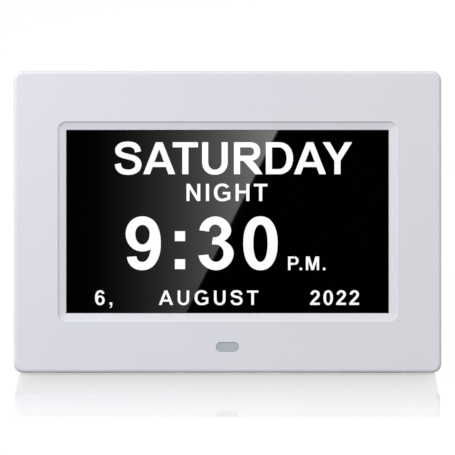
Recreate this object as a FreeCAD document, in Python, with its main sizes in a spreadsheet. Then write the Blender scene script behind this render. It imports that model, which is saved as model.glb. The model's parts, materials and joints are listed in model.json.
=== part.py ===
import FreeCAD, Part
import math
import os
import re
import Sketcher

# Dementia day clock: a 7-inch screen in a two-part case that leans back on a fold-out leg.
#
# Every piece is drawn in the upright frame of the case: X runs to the viewer's right, Y from the
# front face to the back, Z up from the bottom edge. The placement of each piece then leans it back,
# so that the clock stands on its two base pads and on the foot of the leg.

# ---------------------------------------------------------------- driving dimensions (mm, degrees)

SIZES = {
    # screen opening, and the width of the front face on each side of it
    "screen_width": 154.6,
    "screen_height": 87.9,
    "border_side": 25.1,
    "border_low": 28.5,
    "border_top": 28.2,
    # case
    "front_depth": 9,
    "back_depth": 16,
    "case_wall": 2.4,
    "corner_radius": 4.4,
    "front_edge_radius": 1.8,
    "rear_edge_radius": 3.5,
    "seam_bevel": 0.25,
    "joint_gap": 0.15,
    "tongue_height": 1.4,
    "tongue_wall": 1,
    "post_radius": 3.4,
    "boss_radius": 3,
    "pilot_floor": 0.4,
    "flat_end": 0.02,
    # rim of the screen opening
    "lip_width": 0.15,
    "lip_thickness": 1.45,
    "lip_corner": 0.2,
    "bevel_width": 3.3,
    "bevel_depth": 0.65,
    "step_width": 0.45,
    "step_depth": 0.6,
    "step_round": 0.1,
    "frame_wall": 2.4,
    # display module
    "panel_margin_side": 5.1,
    "panel_margin_end": 6.05,
    "panel_depth": 5.7,
    "panel_sheet": 0.6,
    "panel_fit": 0.2,
    "panel_border": 0.9,
    "glass_thickness": 1.6,
    "gasket_thickness": 0.5,
    "bracket_offset": 60,
    "bracket_width": 10,
    "bracket_sheet": 0.8,
    "bracket_grip": 6,
    "bracket_boss": 5,
    "cable_width": 32,
    "cable_sheet": 0.3,
    "cable_low": 34,
    "cable_slant": 6,
    "connector_side": 1.5,
    "connector_height": 4,
    "connector_depth": 1.8,
    "connector_rise": 2,
    # infrared window and receiver
    "window_width": 10.6,
    "window_height": 4.3,
    "window_centre": 12.4,
    "window_gap": 0.1,
    "window_sink": 0.25,
    "window_flange": 1.5,
    "window_flange_depth": 0.8,
    "window_chamfer": 0.2,
    "receiver_width": 6,
    "receiver_depth": 4.2,
    "receiver_lens": 2.4,
    "receiver_gap": 0.3,
    "ir_board_width": 30,
    "ir_board_height": 12,
    "ir_screw_inset": 3,
    # fasteners
    "screw_side": 8.25,
    "screw_end": 9,
    "screw_radius": 1.5,
    "screw_length": 16,
    "head_radius": 2.8,
    "head_height": 1.6,
    "head_gap": 0.3,
    "head_sink": 3,
    "small_screw_radius": 1,
    "small_screw_length": 5,
    "small_head_radius": 1.9,
    "small_head_height": 1.2,
    "cross_width": 0.7,
    "cross_length": 3,
    "cross_depth": 0.8,
    # main board
    "board_left": 54,
    "board_side_gap": 3,
    "board_low": 60,
    "board_drop": 18.6,
    "board_front": 12.8,
    "board_thickness": 1.6,
    "board_corner": 2,
    "board_post_left": 50,
    "board_post_right": 66,
    "board_post_inset": 4,
    "chip_row": 97,
    "chip_pitch": 21,
    "chip_height": 1.2,
    "processor_size": 14,
    "memory_width": 12,
    "memory_length": 8,
    "coil_size": 7,
    "coil_row": 76,
    # buttons and key switches
    "button_drop": 26.6,
    "button_pitch": 14,
    "button_radius": 3.5,
    "button_gap": 0.3,
    "button_proud": 1,
    "button_round": 0.5,
    "button_flange": 0.9,
    "button_flange_depth": 1.2,
    "button_travel": 0.5,
    "button_rest_gap": 0.2,
    "button_stem": 1.6,
    "button_stem_gap": 0.1,
    "switch_size": 6,
    "switch_body": 3.5,
    "switch_plunger": 0.4,
    # sockets in the side wall, one above the other
    "port_gap": 0.25,
    "port_sink": 0.3,
    "port_space": 4.2,
    "jack_height": 68,
    "jack_size": 8,
    "jack_length": 11,
    "jack_block": 2,
    "jack_nose": 3,
    "jack_bore": 2.1,
    "jack_pin": 0.65,
    "jack_pin_sink": 1.5,
    "usb_width": 13.1,
    "usb_depth": 5.7,
    "usb_length": 14,
    "usb_block": 3,
    "usb_sheet": 0.4,
    "usb_tongue": 1.8,
    "usb_tongue_sink": 1,
    "card_width": 24.6,
    "card_depth": 2.4,
    "card_length": 27,
    "card_block": 2,
    "card_sheet": 0.5,
    # back-up cell
    "cell_offset": 44,
    "cell_height": 77,
    "cell_radius": 10,
    "cell_thickness": 3.2,
    "cell_round": 0.4,
    "cell_proud": 0.6,
    "holder_wall": 1.2,
    "holder_base": 1.2,
    # speaker
    "speaker_inset": 28.4,
    "speaker_height": 50,
    "speaker_radius": 14,
    "speaker_rim": 1.6,
    "speaker_cone": 0.8,
    "speaker_depth": 5,
    "magnet_radius": 7,
    "grille_hole": 0.9,
    "grille_pitch": 3.6,
    "speaker_collar": 1.2,
    "speaker_fit": 0.2,
    # vents and keyholes
    "vent_inset": 8.6,
    "vent_pitch": 4.4,
    "vent_count": 8,
    "vent_width": 2,
    "vent_drop": 13.6,
    "vent_length": 13,
    "keyhole_inset": 37.4,
    "keyhole_drop": 46.6,
    "keyhole_radius": 4.25,
    "keyhole_slot": 4.5,
    "keyhole_rise": 8,
    # stand
    "lean_angle": 12,
    "open_angle": 22,
    "hinge_height": 86,
    "recess_width": 50,
    "recess_depth": 5.6,
    "recess_floor": 2,
    "recess_top_gap": 0.9,
    "leg_side_gap": 1,
    "leg_thickness": 4.4,
    "leg_floor_gap": 0.5,
    "leg_wall": 2.2,
    "leg_round": 0.8,
    "stop_gap": 0.05,
    "pin_radius": 1,
    "pin_clearance": 0.08,
    "foot_inset": 2,
    "foot_tenon": 1.6,
    "foot_tenon_height": 2.4,
    # base pads
    "pad_inset": 32.4,
    "pad_width": 30,
    "pad_length": 3.2,
    "pad_height": 0.4,
    "pad_seat": 0.6,
    "pad_setback": 0.4,
}

BUTTONS = ["power", "menu", "left", "right", "up", "down", "exit"]
QUARTER_TURN = math.pi / 2
GRILLE_RINGS = 3
# Two faces or edges that are closer than this lie in one plane.
TOUCHING = 0.01
# Each cut takes away at least this volume.
LEAST_CUT = 0.01

# ------------------------------------------------- places worked out from the driving dimensions

SIDE = "(screen_width / 2 + border_side)"
TOP = "(border_low + screen_height + border_top)"
REAR = "(front_depth + back_depth)"
INNER_SIDE = f"({SIDE} - case_wall)"
INNER_TOP = f"({TOP} - case_wall)"
INNER_REAR = f"({REAR} - case_wall)"
TONGUE_SIDE = f"({INNER_SIDE} + tongue_wall)"
TONGUE_TOP = f"({INNER_TOP} + tongue_wall)"
TONGUE_LOW = "(case_wall - tongue_wall)"
TONGUE_REAR = "(front_depth + tongue_height)"

SCREEN_SIDE = "(screen_width / 2)"
SCREEN_TOP = "(border_low + screen_height)"
WINDOW_REAR = "(step_depth + bevel_depth + lip_thickness)"
BEVEL_EDGE = "(lip_width + bevel_width)"
RIM_EDGE = f"({BEVEL_EDGE} + step_width)"
FRAME_EDGE = f"({RIM_EDGE} + frame_wall)"

PANEL_SIDE = f"({SCREEN_SIDE} + panel_margin_side)"
PANEL_LOW = "(border_low - panel_margin_end)"
PANEL_HIGH = f"({SCREEN_TOP} + panel_margin_end)"
PANEL_FRONT = f"({WINDOW_REAR} + gasket_thickness)"
PANEL_REAR = f"({PANEL_FRONT} + panel_depth)"
GLASS_FRONT = f"({PANEL_FRONT} + panel_sheet)"
GLASS_REAR = f"({GLASS_FRONT} + glass_thickness)"
BRACKET_REAR = f"({PANEL_REAR} + bracket_sheet)"

BOARD_RIGHT = f"({INNER_SIDE} - board_side_gap)"
BOARD_TOP = f"({TOP} - board_drop)"
BOARD_REAR = "(board_front + board_thickness)"
BUTTON_HEIGHT = f"({TOP} - button_drop)"
SWITCH_FACE = f"({BOARD_REAR} + switch_body)"
SCREW_SIDE = f"({SIDE} - screw_side)"
SCREW_TOP = f"({TOP} - screw_end)"
HEAD_SEAT = f"({REAR} - head_sink)"

FLANGE_REAR = "(case_wall + window_flange_depth)"
IR_BOARD_FRONT = f"({FLANGE_REAR} + receiver_gap + receiver_depth)"
IR_BOARD_REAR = f"({IR_BOARD_FRONT} + board_thickness)"

# The sockets stand one above the other on the rear face of the board, with their mouths in the side wall.
PORT_FACE = f"({SIDE} - port_sink)"
JACK_DEPTH = f"({BOARD_REAR} + jack_size / 2)"
USB_HEIGHT = "(jack_height + jack_size / 2 + port_space + usb_width / 2)"
CARD_HEIGHT = f"({USB_HEIGHT} + usb_width / 2 + port_space + card_width / 2)"

SPEAKER_PLACE = f"(speaker_inset - {SIDE})"
KEYHOLE_SIDE = f"({SIDE} - keyhole_inset)"
KEYHOLE_HEIGHT = f"({TOP} - keyhole_drop)"

RECESS_SIDE = "(recess_width / 2)"
RECESS_OUTSIDE = f"({RECESS_SIDE} + case_wall)"
RECESS_FLOOR = f"({REAR} - recess_depth)"
RECESS_INSIDE = f"({RECESS_FLOOR} - recess_floor)"
RECESS_TOP = "(hinge_height + leg_thickness / 2 + recess_top_gap)"
LEG_HALF = "(leg_thickness / 2)"
LEG_SIDE = f"({RECESS_SIDE} - leg_side_gap)"
FOOT_SIDE = f"({LEG_SIDE} - foot_inset)"
HINGE_DEPTH = f"({RECESS_FLOOR} + leg_floor_gap + {LEG_HALF})"

# How far the heel rises above the hinge, so that it meets the recess floor when the leg is open.
HEEL = f"((leg_floor_gap + {LEG_HALF} - stop_gap - {LEG_HALF} * cos(open_angle)) / sin(open_angle))"

PAD_PLACE = f"({SIDE} - pad_inset)"
PAD_REAR = f"({REAR} - rear_edge_radius - pad_setback)"
PAD_FRONT = f"({PAD_REAR} - pad_length)"

# Height of the hinge above the table, and the leg's length from the hinge to the centre of its foot.
HINGE_RISE = (
    f"(cos(lean_angle) * (hinge_height + pad_height) - sin(lean_angle) * ({HINGE_DEPTH} - {PAD_REAR}))"
)
LEG_LENGTH = f"(({HINGE_RISE} - {LEG_HALF}) / cos(open_angle - lean_angle))"

# Reach from the front bottom edge to the back of the foot, along the table.
FOOT_REACH = (
    f"({HINGE_DEPTH} * cos(lean_angle) + hinge_height * sin(lean_angle)"
    f" + {LEG_LENGTH} * sin(open_angle - lean_angle) + {LEG_HALF})"
)
STAND_SHIFT = f"vector(0; -{FOOT_REACH} / 2; {PAD_REAR} * sin(lean_angle) + pad_height * cos(lean_angle))"
LEANING = f"placement({STAND_SHIFT}; rotation(vector(1; 0; 0); -lean_angle))"
UNFOLDED = f"placement(vector(0; {HINGE_DEPTH}; hinge_height); rotation(vector(1; 0; 0); open_angle))"

# ------------------------------------------------------------------------------ document and sheet

doc = FreeCAD.newDocument("day_clock")
sheet = doc.addObject("Spreadsheet::Sheet", "Sizes")
for row, (word, size) in enumerate(SIZES.items(), 1):
    sheet.set(f"A{row}", word)
    sheet.set(f"B{row}", str(size))
    sheet.setAlias(f"B{row}", word)
doc.recompute()

parts = []
checked_cuts = []


def tied(text):
    """The expression with each size name read from the sheet."""
    return re.sub(r"\b([a-z]+_[a-z_]+)\b", r"Sizes.\1", text)


def value(text):
    """The present value of an expression."""
    return float(sheet.evalExpression(tied(text)))


# ------------------------------------------------------------------------------- sketch and solid

# The plane that a sketch lies on when it is swept along an axis, and the sense of its normal.
PLANES = {"x": ("YZ_Plane", 1), "y": ("XZ_Plane", -1), "z": ("XY_Plane", 1)}


def new_part(name, placement=LEANING):
    """An empty body that becomes one node of the clock."""
    body = doc.addObject("PartDesign::Body", name)
    body.Label = name
    body.setExpression("Placement", tied(placement))
    parts.append(body)
    return body


def new_sketch(body, name, axis, start, shapes):
    """A sketch across the axis, at the distance start along it, holding the shapes."""
    role, sense = PLANES[axis]
    sketch = body.newObject("Sketcher::SketchObject", name)
    plane = next(item for item in body.Origin.OriginFeatures if item.Role == role)
    sketch.AttachmentSupport = [(plane, "")]
    sketch.MapMode = "FlatFace"
    sketch.setExpression("AttachmentOffset.Base.z", tied(f"{sense} * ({start})"))
    rules = []
    for shape in shapes:
        shape(sketch, rules)
    numbers = sketch.addConstraint([rule for rule, size in rules])
    for number, (rule, size) in zip(numbers, rules):
        if size:
            sketch.setExpression(f"Constraints[{number}]", tied(size))
    return sketch


def add(body, name, axis, start, end, *shapes):
    """Add the shapes, swept along the axis from start to end."""
    sketch = new_sketch(body, f"{name}_sketch", axis, start, shapes)
    feature = body.newObject("PartDesign::Pad", name)
    feature.Profile = sketch
    feature.setExpression("Length", tied(f"({end}) - ({start})"))
    feature.Reversed = PLANES[axis][1] < 0
    return feature


def cut(body, name, axis, start, end, *shapes):
    """Take the shapes away, swept along the axis from start to end."""
    sketch = new_sketch(body, f"{name}_sketch", axis, start, shapes)
    feature = body.newObject("PartDesign::Pocket", name)
    feature.Profile = sketch
    feature.setExpression("Length", tied(f"({end}) - ({start})"))
    feature.Reversed = PLANES[axis][1] > 0
    checked_cuts.append(feature)
    return feature


def repeat(body, original, role, pitch, count, backwards=False):
    """Repeat a feature in a row along one of the body's axes."""
    pattern = body.newObject("PartDesign::LinearPattern", f"{original.Name}_row")
    pattern.Originals = [original]
    pattern.Direction = (next(item for item in body.Origin.OriginFeatures if item.Role == role), [""])
    pattern.Mode = "Spacing"
    pattern.setExpression("Offset", tied(pitch))
    pattern.setExpression("Occurrences", tied(count))
    pattern.Reversed = backwards
    body.Tip = pattern
    checked_cuts.append(pattern)
    return pattern


def loft_cut(body, name, axis, start, end, first_shape, last_shape):
    """Take away the solid between one shape at start and another at end."""
    first = new_sketch(body, f"{name}_start", axis, start, [first_shape])
    last = new_sketch(body, f"{name}_end", axis, end, [last_shape])
    feature = body.newObject("PartDesign::SubtractiveLoft", name)
    feature.Profile = first
    feature.Sections = [last]
    feature.Ruled = True
    checked_cuts.append(feature)
    return feature


def dress(body, kind, name, size, chosen):
    """Round (Fillet) or bevel (Chamfer) the edges of the body that chosen picks."""
    doc.recompute()
    base = body.Tip
    names = [f"Edge{i}" for i, edge in enumerate(base.Shape.Edges, 1) if chosen(edge)]
    feature = body.newObject(f"PartDesign::{kind}", name)
    feature.Base = (base, names)
    feature.setExpression("Radius" if kind == "Fillet" else "Size", tied(size))
    return feature


def place(element, point, across=None, up=None):
    """The rules that hold a point of a sketch at its distances from the sketch's origin."""
    rules = []
    if across is not None:
        rules.append((Sketcher.Constraint("DistanceX", -1, 1, element, point, value(across)), across))
    if up is not None:
        rules.append((Sketcher.Constraint("DistanceY", -1, 1, element, point, value(up)), up))
    return rules


def radius_of(element, size):
    """The rule that gives a circle or an arc its radius."""
    return Sketcher.Constraint("Radius", element, value(size)), size


def join(first, first_end, second, second_end, kind="Coincident"):
    """The rule that joins the ends of two sides."""
    return Sketcher.Constraint(kind, first, first_end, second, second_end), None


def disc(across, up, radius):
    """A circle about a centre."""

    def draw(sketch, rules):
        centre = FreeCAD.Vector(value(across), value(up), 0)
        circle = sketch.addGeometry(Part.Circle(centre, FreeCAD.Vector(0, 0, 1), value(radius)), False)
        rules.extend(place(circle, 3, across, up))
        rules.append(radius_of(circle, radius))

    return draw


def outline(*corners):
    """A closed outline of straight sides through the corners."""

    def draw(sketch, rules):
        points = [FreeCAD.Vector(value(across), value(up), 0) for across, up in corners]
        sides = [
            sketch.addGeometry(Part.LineSegment(point, points[(i + 1) % len(points)]), False)
            for i, point in enumerate(points)
        ]
        for i, side in enumerate(sides):
            rules.append(join(side, 2, sides[(i + 1) % len(sides)], 1))
            rules.extend(place(side, 1, *corners[i]))

    return draw


def box(left, right, low, high):
    """A rectangle with sharp corners."""
    return outline((left, low), (right, low), (right, high), (left, high))


def soft_box(left, right, low, high, radius):
    """A rectangle with round corners."""

    def draw(sketch, rules):
        x_low, x_high, y_low, y_high = value(left), value(right), value(low), value(high)
        r = value(radius)
        # Going round from the lower left corner: the centre of each corner arc and its first angle.
        centres = [
            (x_low + r, y_low + r, 2 * QUARTER_TURN),
            (x_high - r, y_low + r, 3 * QUARTER_TURN),
            (x_high - r, y_high - r, 0),
            (x_low + r, y_high - r, QUARTER_TURN),
        ]
        arcs = []
        for x, y, angle in centres:
            circle = Part.Circle(FreeCAD.Vector(x, y, 0), FreeCAD.Vector(0, 0, 1), r)
            arcs.append(sketch.addGeometry(Part.ArcOfCircle(circle, angle, angle + QUARTER_TURN), False))
        sides = []
        for i, arc in enumerate(arcs):
            start = sketch.getPoint(arc, 2)
            end = sketch.getPoint(arcs[(i + 1) % 4], 1)
            sides.append(sketch.addGeometry(Part.LineSegment(start, end), False))
        for i, side in enumerate(sides):
            rules.append(join(arcs[i], 2, side, 1, "Tangent"))
            rules.append(join(side, 2, arcs[(i + 1) % 4], 1, "Tangent"))
            rules.append((Sketcher.Constraint("Horizontal" if i % 2 == 0 else "Vertical", side), None))
        for arc in arcs[1:]:
            rules.append((Sketcher.Constraint("Equal", arcs[0], arc), None))
        rules.append(radius_of(arcs[0], radius))
        rules.extend(place(sides[0], 1, up=low))
        rules.extend(place(sides[1], 1, across=right))
        rules.extend(place(sides[2], 1, up=high))
        rules.extend(place(sides[3], 1, across=left))

    return draw


def around_screen(edge, radius=None):
    """The screen's rectangle, made larger by edge on every side."""
    sides = (
        f"-({SCREEN_SIDE} + {edge})",
        f"{SCREEN_SIDE} + {edge}",
        f"border_low - {edge}",
        f"{SCREEN_TOP} + {edge}",
    )
    return soft_box(*sides, radius) if radius else box(*sides)


def around_panel(inset):
    """The outline of the display module, made smaller by inset on every side."""
    return box(
        f"-({PANEL_SIDE} - ({inset}))",
        f"{PANEL_SIDE} - ({inset})",
        f"{PANEL_LOW} + ({inset})",
        f"{PANEL_HIGH} - ({inset})",
    )


def ir_pill(margin):
    """The stadium shape of the infrared window, made larger by margin."""
    half_height = f"(window_height / 2 + {margin})"
    return soft_box(
        f"-(window_width / 2 + {margin})",
        f"window_width / 2 + {margin}",
        f"window_centre - {half_height}",
        f"window_centre + {half_height}",
        f"{half_height} - flat_end / 2",
    )


def at_depth(edge, depth):
    """Whether the whole edge lies at one distance behind the front face."""
    return abs(edge.BoundBox.YMin - depth) < TOUCHING and abs(edge.BoundBox.YMax - depth) < TOUCHING


def in_window(edge, side, low, high):
    """Whether the whole edge lies inside a rectangle, seen from the front."""
    span = edge.BoundBox
    return max(span.XMax, -span.XMin) < side and span.ZMin > low and span.ZMax < high


def four_corners(side, low, high):
    """The four places at plus and minus side, and at low and high."""
    return [(f"{sign}{side}", up) for up in (low, high) for sign in ("-", "")]


CASE_SCREWS = four_corners(SCREW_SIDE, "screw_end", SCREW_TOP)
BRACKETS = four_corners(
    "bracket_offset", f"({PANEL_LOW} - bracket_boss)", f"({PANEL_HIGH} + bracket_boss)"
)
IR_SCREWS = [(f"{sign}(ir_board_width / 2 - ir_screw_inset)", "window_centre") for sign in ("-", "")]
BOARD_POSTS = [
    (across, up)
    for up in ("(board_low + board_post_inset)", f"({BOARD_TOP} - board_post_inset)")
    for across in ("-board_post_left", "board_post_right")
]
BUTTON_PLACES = [f"({i - len(BUTTONS) // 2} * button_pitch)" for i in range(len(BUTTONS))]


def case_outline():
    """The outer outline of the case, seen from the front."""
    return soft_box(f"-{SIDE}", SIDE, "0", TOP, "corner_radius")


# ------------------------------------------------------------------------------------ case halves


def front_bezel():
    body = new_part("front_bezel")
    add(body, "shell", "y", "0", "front_depth", case_outline())
    # Room behind the front wall, round a raised frame that carries the screen opening.
    cut(
        body, "hollow", "y", "case_wall", "front_depth",
        box(f"-{INNER_SIDE}", INNER_SIDE, "case_wall", INNER_TOP),
        around_screen(FRAME_EDGE),
    )
    cut(body, "panel_room", "y", WINDOW_REAR, "front_depth", around_screen(FRAME_EDGE))
    # The tongue that locates the back cover.
    add(
        body, "tongue", "y", "front_depth - tongue_height", TONGUE_REAR,
        box(f"-({TONGUE_SIDE})", TONGUE_SIDE, TONGUE_LOW, TONGUE_TOP),
        box(f"-{INNER_SIDE}", INNER_SIDE, "case_wall", INNER_TOP),
    )
    add(
        body, "screw_bosses", "y", "case_wall", "front_depth",
        *[disc(across, up, "post_radius") for across, up in CASE_SCREWS],
    )
    add(
        body, "bracket_bosses", "y", "case_wall", PANEL_REAR,
        *[disc(across, up, "boss_radius") for across, up in BRACKETS],
    )
    add(
        body, "ir_bosses", "y", "case_wall", IR_BOARD_FRONT,
        *[disc(across, up, "small_head_radius") for across, up in IR_SCREWS],
    )
    # Screen opening: a short steep step, a shallow bevel all round, and a lip down to the display.
    loft_cut(
        body, "window_step", "y", "0", "step_depth",
        around_screen(RIM_EDGE, "bevel_width + lip_corner + step_width"),
        around_screen(BEVEL_EDGE, "bevel_width + lip_corner"),
    )
    loft_cut(
        body, "window_bevel", "y", "step_depth", "step_depth + bevel_depth",
        around_screen(BEVEL_EDGE, "bevel_width + lip_corner"),
        around_screen("lip_width", "lip_corner"),
    )
    cut(body, "window_hole", "y", "step_depth + bevel_depth", WINDOW_REAR, around_screen("0"))
    cut(body, "ir_hole", "y", "0", "case_wall", ir_pill("window_gap"))
    for name, places, radius, end in (
        ("case_pilots", CASE_SCREWS, "screw_radius", "front_depth"),
        ("bracket_pilots", BRACKETS, "small_screw_radius", PANEL_REAR),
        ("ir_pilots", IR_SCREWS, "small_screw_radius", IR_BOARD_FRONT),
    ):
        cut(body, name, "y", "pilot_floor", end, *[disc(across, up, radius) for across, up in places])

    side, low, high = value(INNER_SIDE), value("case_wall"), value(INNER_TOP)
    window_side, rim_low = value("window_width"), value(f"border_low - {FRAME_EDGE}")
    dress(
        body, "Fillet", "front_rounding", "front_edge_radius",
        lambda edge: at_depth(edge, 0) and not in_window(edge, side, low, high),
    )
    dress(
        body, "Fillet", "step_rounding", "step_round",
        lambda edge: at_depth(edge, 0) and in_window(edge, side, rim_low, high),
    )
    dress(
        body, "Chamfer", "ir_rim_bevel", "window_chamfer",
        lambda edge: at_depth(edge, 0) and in_window(edge, window_side, low, rim_low),
    )
    return body


def back_cover():
    body = new_part("back_cover")
    add(body, "shell", "y", "front_depth", REAR, case_outline())
    front, rear = value("front_depth"), value(REAR)
    dress(body, "Fillet", "rear_rounding", "rear_edge_radius", lambda edge: at_depth(edge, rear))
    dress(body, "Chamfer", "seam", "seam_bevel", lambda edge: at_depth(edge, front))
    cut(
        body, "hollow", "y", "front_depth", INNER_REAR,
        box(f"-{INNER_SIDE}", INNER_SIDE, "case_wall", INNER_TOP),
    )
    cut(
        body, "tongue_groove", "y", "front_depth", f"{TONGUE_REAR} + joint_gap",
        box(
            f"-({TONGUE_SIDE} + joint_gap)", f"{TONGUE_SIDE} + joint_gap",
            f"{TONGUE_LOW} - joint_gap", f"{TONGUE_TOP} + joint_gap",
        ),
    )
    # The walls of the recess that takes the folded leg.
    add(
        body, "recess_walls", "y", RECESS_INSIDE, INNER_REAR,
        box(f"-{RECESS_OUTSIDE}", RECESS_OUTSIDE, "case_wall / 2", f"{RECESS_TOP} + case_wall"),
    )
    add(
        body, "screw_posts", "y", "front_depth", INNER_REAR,
        *[disc(across, up, "post_radius") for across, up in CASE_SCREWS],
    )
    add(
        body, "board_posts", "y", BOARD_REAR, INNER_REAR,
        *[disc(across, up, "boss_radius") for across, up in BOARD_POSTS],
    )
    add(
        body, "speaker_collar", "y", f"{INNER_REAR} - speaker_rim", INNER_REAR,
        disc(SPEAKER_PLACE, "speaker_height", "speaker_radius + speaker_fit + speaker_collar"),
        disc(SPEAKER_PLACE, "speaker_height", "speaker_radius + speaker_fit"),
    )
    cut(
        body, "leg_recess", "y", RECESS_FLOOR, REAR,
        box(f"-{RECESS_SIDE}", RECESS_SIDE, "-case_wall", RECESS_TOP),
    )
    cut(
        body, "pin_hole", "x", f"-{RECESS_OUTSIDE}", RECESS_OUTSIDE,
        disc(HINGE_DEPTH, "hinge_height", "pin_radius"),
    )
    cut(
        body, "screw_holes", "y", "front_depth", REAR,
        *[disc(across, up, "screw_radius + joint_gap") for across, up in CASE_SCREWS],
    )
    cut(
        body, "head_holes", "y", HEAD_SEAT, REAR,
        *[disc(across, up, "head_radius + head_gap") for across, up in CASE_SCREWS],
    )
    cut(
        body, "board_pilots", "y", BOARD_REAR, f"{INNER_REAR} - pilot_floor",
        *[disc(across, up, "small_screw_radius") for across, up in BOARD_POSTS],
    )
    cut(
        body, "button_holes", "y", INNER_REAR, REAR,
        *[disc(across, BUTTON_HEIGHT, "button_radius + button_gap") for across in BUTTON_PLACES],
    )
    cut(body, "speaker_grille", "y", INNER_REAR, REAR, *grille_holes())
    for name, sign in (("vents_left", "-"), ("vents_right", "")):
        vent = cut(body, name, "y", INNER_REAR, REAR, vent_slot(f"{sign}({SIDE} - vent_inset)"))
        repeat(body, vent, "X_Axis", "vent_pitch", "vent_count", sign == "")
    for name, sign in (("keyhole_left", "-"), ("keyhole_right", "")):
        centre = f"{sign}{KEYHOLE_SIDE}"
        cut(body, f"{name}_entry", "y", INNER_REAR, REAR, disc(centre, KEYHOLE_HEIGHT, "keyhole_radius"))
        cut(
            body, f"{name}_slot", "y", INNER_REAR, REAR,
            soft_box(
                f"{centre} - keyhole_slot / 2", f"{centre} + keyhole_slot / 2",
                f"{KEYHOLE_HEIGHT} - keyhole_slot / 2",
                f"{KEYHOLE_HEIGHT} + keyhole_rise + keyhole_slot / 2",
                "(keyhole_slot - flat_end) / 2",
            ),
        )
    # Openings in the right side wall for the sockets.
    cut(
        body, "jack_hole", "x", INNER_SIDE, SIDE,
        disc(JACK_DEPTH, "jack_height", "jack_nose + port_gap"),
    )
    cut(body, "usb_hole", "x", INNER_SIDE, SIDE, usb_box("port_gap"))
    cut(body, "card_hole", "x", INNER_SIDE, SIDE, card_box("port_gap"))
    cut(
        body, "pad_seats", "z", "0", "pad_seat",
        *[box(*pad_span(sign), PAD_FRONT, PAD_REAR) for sign in (-1, 1)],
    )
    return body


def grille_holes():
    """Rings of small holes in front of the speaker, six more in each ring."""
    holes = [disc(SPEAKER_PLACE, "speaker_height", "grille_hole")]
    for ring in range(1, GRILLE_RINGS + 1):
        count = 6 * ring
        for i in range(count):
            angle = 360 / count * i
            holes.append(
                disc(
                    f"{SPEAKER_PLACE} + {ring} * grille_pitch * cos({angle})",
                    f"speaker_height + {ring} * grille_pitch * sin({angle})",
                    "grille_hole",
                )
            )
    return holes


def vent_slot(centre):
    """One upright slot with round ends."""
    return soft_box(
        f"{centre} - vent_width / 2", f"{centre} + vent_width / 2",
        f"{TOP} - vent_drop - vent_length", f"{TOP} - vent_drop", "(vent_width - flat_end) / 2",
    )


def pad_span(sign):
    """The two ends of a base pad along X."""
    centre = f"({sign} * {PAD_PLACE})"
    return f"{centre} - pad_width / 2", f"{centre} + pad_width / 2"


# ---------------------------------------------------------------------------------- display module


def lcd_gasket():
    body = new_part("lcd_gasket")
    add(
        body, "ring", "y", WINDOW_REAR, PANEL_FRONT,
        around_panel("panel_sheet"),
        around_screen("panel_border"),
    )
    return body


def lcd_frame():
    body = new_part("lcd_frame")
    add(body, "tray", "y", PANEL_FRONT, PANEL_REAR, around_panel("0"))
    cut(body, "inside", "y", GLASS_FRONT, PANEL_REAR, around_panel("panel_sheet"))
    cut(body, "opening", "y", PANEL_FRONT, GLASS_FRONT, around_screen("panel_border"))
    return body


def lcd_glass():
    body = new_part("lcd_glass")
    add(body, "pane", "y", GLASS_FRONT, GLASS_REAR, around_panel("panel_sheet + panel_fit"))
    return body


def lcd_backlight():
    body = new_part("lcd_backlight")
    add(body, "guide", "y", GLASS_REAR, PANEL_REAR, around_panel("panel_sheet + panel_fit"))
    return body


def lcd_brackets():
    """Four flat clips, each from its boss in the bezel to the back of the display."""
    body = new_part("lcd_brackets")
    strips = []
    for across, up in BRACKETS:
        inward = "" if up == BRACKETS[0][1] else "-"
        far = f"({up} + {inward}(bracket_boss + bracket_grip))"
        near = f"({up} - {inward}boss_radius)"
        low, high = (near, far) if inward == "" else (far, near)
        strips.append(box(f"{across} - bracket_width / 2", f"{across} + bracket_width / 2", low, high))
    add(body, "strips", "y", PANEL_REAR, BRACKET_REAR, *strips)
    cut(
        body, "holes", "y", PANEL_REAR, BRACKET_REAR,
        *[disc(across, up, "small_screw_radius + joint_gap") for across, up in BRACKETS],
    )
    return body


def screw_group(name, places, head_start, head_end, tip, head_radius, shank_radius, facing):
    """Pan-head cross-recess screws, one at each place, along Y."""
    body = new_part(name)
    shank_ends = (tip, head_start) if facing == "rear" else (head_end, tip)
    add(body, "heads", "y", head_start, head_end, *[disc(across, up, head_radius) for across, up in places])
    add(body, "shanks", "y", *shank_ends, *[disc(across, up, shank_radius) for across, up in places])
    cross_ends = (f"{head_end} - cross_depth", head_end)
    if facing == "front":
        cross_ends = (head_start, f"{head_start} + cross_depth")
    for bar, half_wide, half_high in (
        ("upright", "cross_width / 2", "cross_length / 2"),
        ("level", "cross_length / 2", "cross_width / 2"),
    ):
        cut(
            body, f"cross_{bar}", "y", *cross_ends,
            *[
                box(
                    f"{across} - {half_wide}", f"{across} + {half_wide}",
                    f"{up} - {half_high}", f"{up} + {half_high}",
                )
                for across, up in places
            ],
        )
    return body


def lcd_cable():
    """A flat cable that lies on the back of the display and steps back to the board's connector."""
    body = new_part("lcd_cable")
    low = "(board_low - cable_slant)"
    high = "(board_low + connector_rise)"
    near = PANEL_REAR
    far = "(board_front - connector_depth / 2)"
    add(
        body, "ribbon", "x", "-cable_width / 2", "cable_width / 2",
        outline(
            (near, "cable_low"),
            (f"{near} + cable_sheet", "cable_low"),
            (f"{near} + cable_sheet", low),
            (far, "board_low"),
            (far, high),
            (f"{far} - cable_sheet", high),
            (f"{far} - cable_sheet", "board_low"),
            (near, low),
        ),
    )
    return body


# ------------------------------------------------------------------------------------- electronics


def main_board():
    body = new_part("main_board")
    add(
        body, "plate", "y", "board_front", BOARD_REAR,
        soft_box("-board_left", BOARD_RIGHT, "board_low", BOARD_TOP, "board_corner"),
    )
    cut(
        body, "post_holes", "y", "board_front", BOARD_REAR,
        *[disc(across, up, "small_screw_radius + joint_gap") for across, up in BOARD_POSTS],
    )
    return body


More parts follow.
